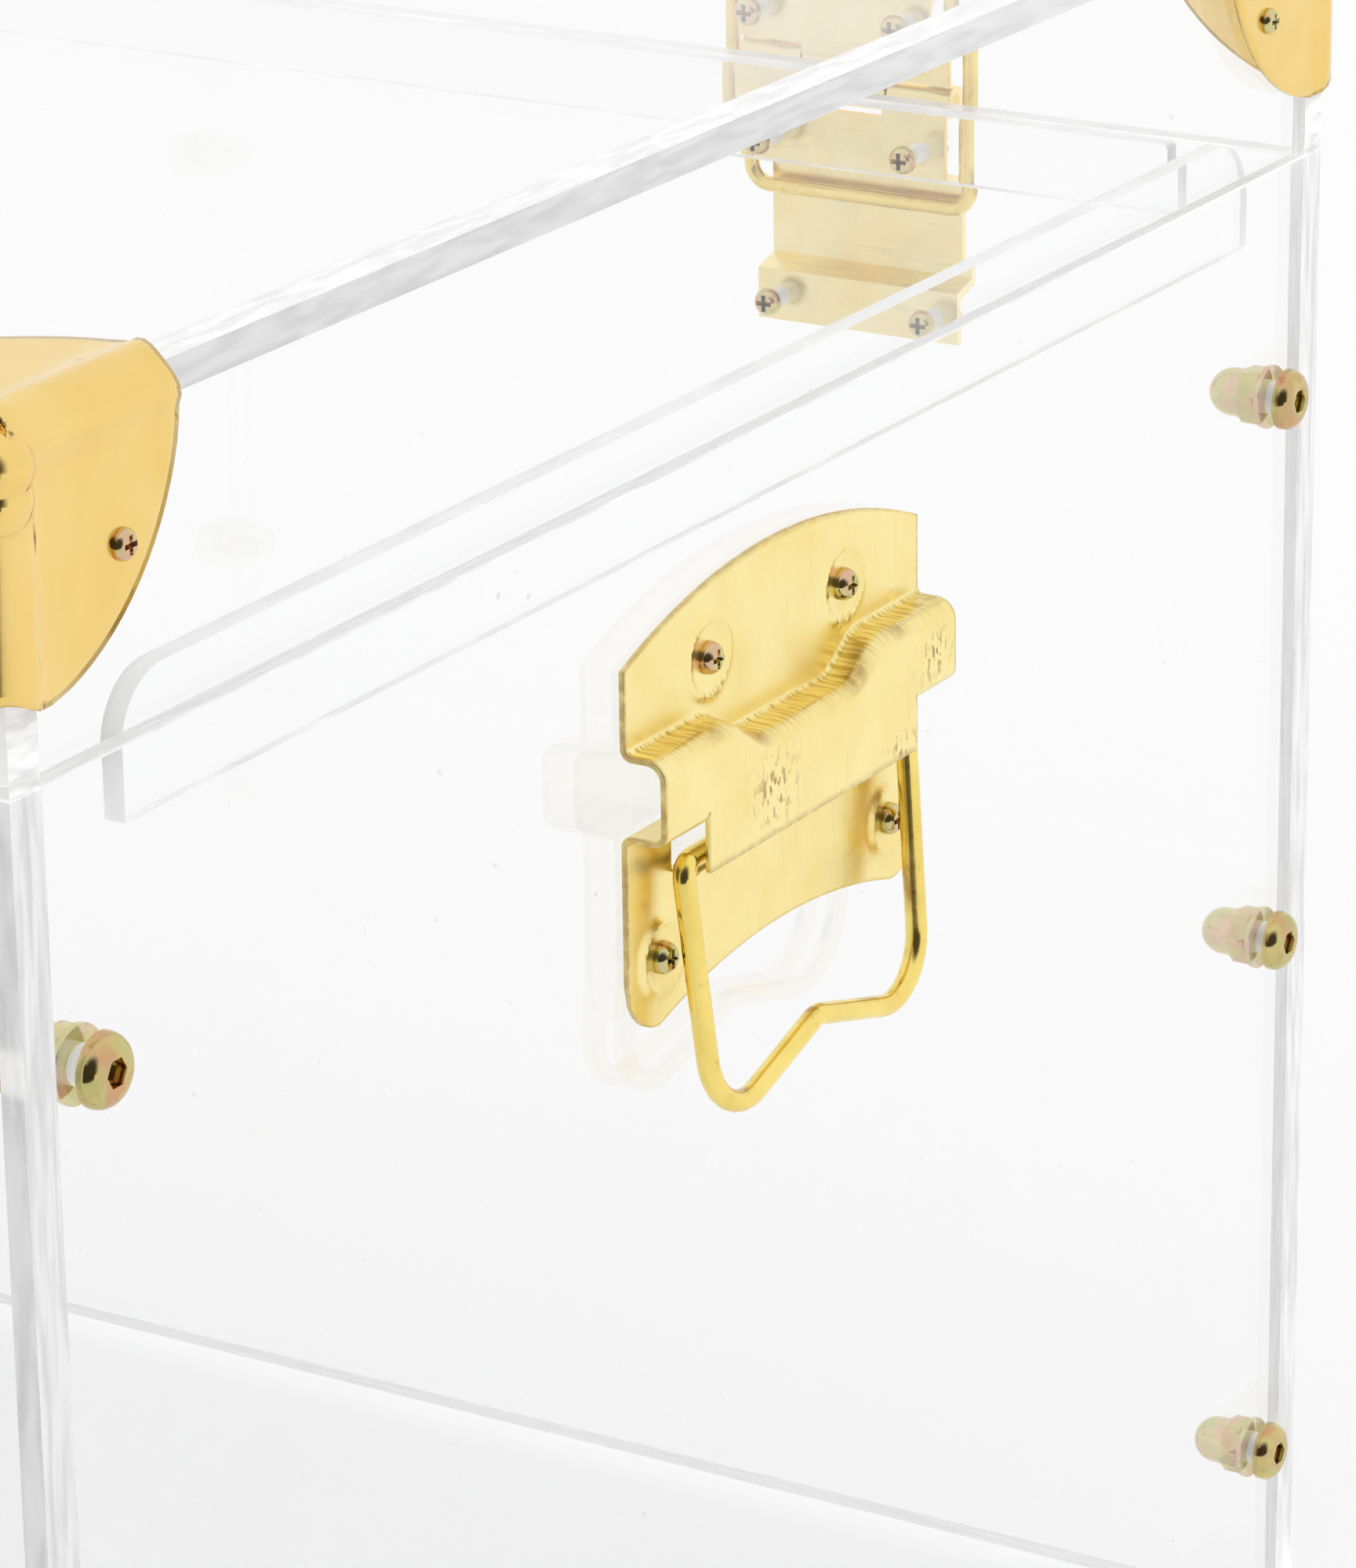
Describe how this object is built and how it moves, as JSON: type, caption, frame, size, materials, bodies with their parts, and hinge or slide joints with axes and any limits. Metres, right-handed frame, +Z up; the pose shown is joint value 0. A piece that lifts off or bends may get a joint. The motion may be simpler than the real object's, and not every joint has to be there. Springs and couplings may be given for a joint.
{
  "type": "makeup train case",
  "caption": "Clear acrylic make-up trunk case with hinged lid, brass corner caps, stop hinges and swinging wire end handles.",
  "frame": {"origin": "under the middle of the case, on the surface that the feet stand on", "axes": "+X along the case towards the right end, +Y towards the hinged back, +Z up"},
  "size_m": [0.4576, 0.3504, 0.3013],
  "materials": {
    "acrylic": "clear, polished",
    "brass_plate": "thin gold-tone plate on stamped sheet, satin",
    "polished_brass": "polished",
    "plated_wire": "gold-tone plated wire, bright",
    "zinc_plate": "yellow zinc plated steel",
    "clear_rubber": "clear soft button"
  },
  "bodies": {
    "body": {"body_back_panel": "acrylic", "body_base_panel": "acrylic", "body_front_panel": "acrylic", "body_left_panel": "acrylic", "body_right_panel": "acrylic", "dome_nuts": "zinc_plate", "foot_back_left": "clear_rubber", "foot_back_right": "clear_rubber", "foot_front_left": "clear_rubber", "foot_front_right": "clear_rubber", "handle_left_plate": "brass_plate", "handle_left_screws": "zinc_plate", "handle_right_plate": "brass_plate", "handle_right_screws": "zinc_plate", "hinge_body_nuts": "zinc_plate", "hinge_body_screws": "zinc_plate", "hinge_left_body_leaf": "brass_plate", "hinge_left_pin": "plated_wire", "hinge_right_body_leaf": "brass_plate", "hinge_right_pin": "plated_wire", "latch_body_nuts": "zinc_plate", "latch_body_plate": "brass_plate", "latch_body_screws": "zinc_plate", "latch_pivot_post": "brass_plate", "rim_strip_back": "acrylic", "rim_strip_front": "acrylic", "rim_strip_left": "acrylic", "rim_strip_right": "acrylic", "wall_bolts": "zinc_plate", "wall_washers": "zinc_plate"},
    "lid": {"hinge_left_lid_leaf": "brass_plate", "hinge_lid_nuts": "zinc_plate", "hinge_lid_screws": "zinc_plate", "hinge_right_lid_leaf": "brass_plate", "latch_lid_nuts": "zinc_plate", "latch_lid_plate": "brass_plate", "latch_lid_screws": "zinc_plate", "lid_back_panel": "acrylic", "lid_corner_back_left": "polished_brass", "lid_corner_back_right": "polished_brass", "lid_corner_front_left": "polished_brass", "lid_corner_front_right": "polished_brass", "lid_corner_screws": "zinc_plate", "lid_front_panel": "acrylic", "lid_left_panel": "acrylic", "lid_right_panel": "acrylic", "lid_top_panel": "acrylic"},
    "right_bail": {"handle_right_bail": "plated_wire"},
    "left_bail": {"handle_left_bail": "plated_wire"},
    "right_stop_loop": {"hinge_right_stop_loop": "plated_wire"},
    "left_stop_loop": {"hinge_left_stop_loop": "plated_wire"},
    "latch_hook": {"latch_hook": "brass_plate"}
  },
  "joints": [
    {"name": "lid_hinge", "type": "hinge", "parent": "body", "child": "lid", "pos_m": [0, 0.17175, 0.255], "axis": [-1, 0, 0], "range_deg": [0, 90]},
    {"name": "right_loop_slide", "type": "hinge", "parent": "body", "child": "right_stop_loop", "pos_m": [0.135, 0.15414, 0.23302], "axis": [-1, 0, 0], "range_deg": [0, 34.86]},
    {"name": "right_bail_swing", "type": "hinge", "parent": "body", "child": "right_bail", "pos_m": [0.2239, 0, 0.2033], "axis": [0, -1, 0], "range_deg": [0, 130]},
    {"name": "left_loop_slide", "type": "hinge", "parent": "body", "child": "left_stop_loop", "pos_m": [-0.135, 0.15414, 0.23302], "axis": [-1, 0, 0], "range_deg": [0, 34.86]},
    {"name": "left_bail_swing", "type": "hinge", "parent": "body", "child": "left_bail", "pos_m": [-0.2239, 0, 0.2033], "axis": [0, 1, 0], "range_deg": [0, 130]},
    {"name": "hook_swing", "type": "hinge", "parent": "body", "child": "latch_hook", "pos_m": [0, -0.1718, 0.24], "axis": [0, -1, 0], "range_deg": [0, 180]}
  ],
  "couplings": [
    {"joint": "right_loop_slide", "follows": "lid_hinge", "ratio": 0.384},
    {"joint": "left_loop_slide", "follows": "lid_hinge", "ratio": 0.384}
  ]
}
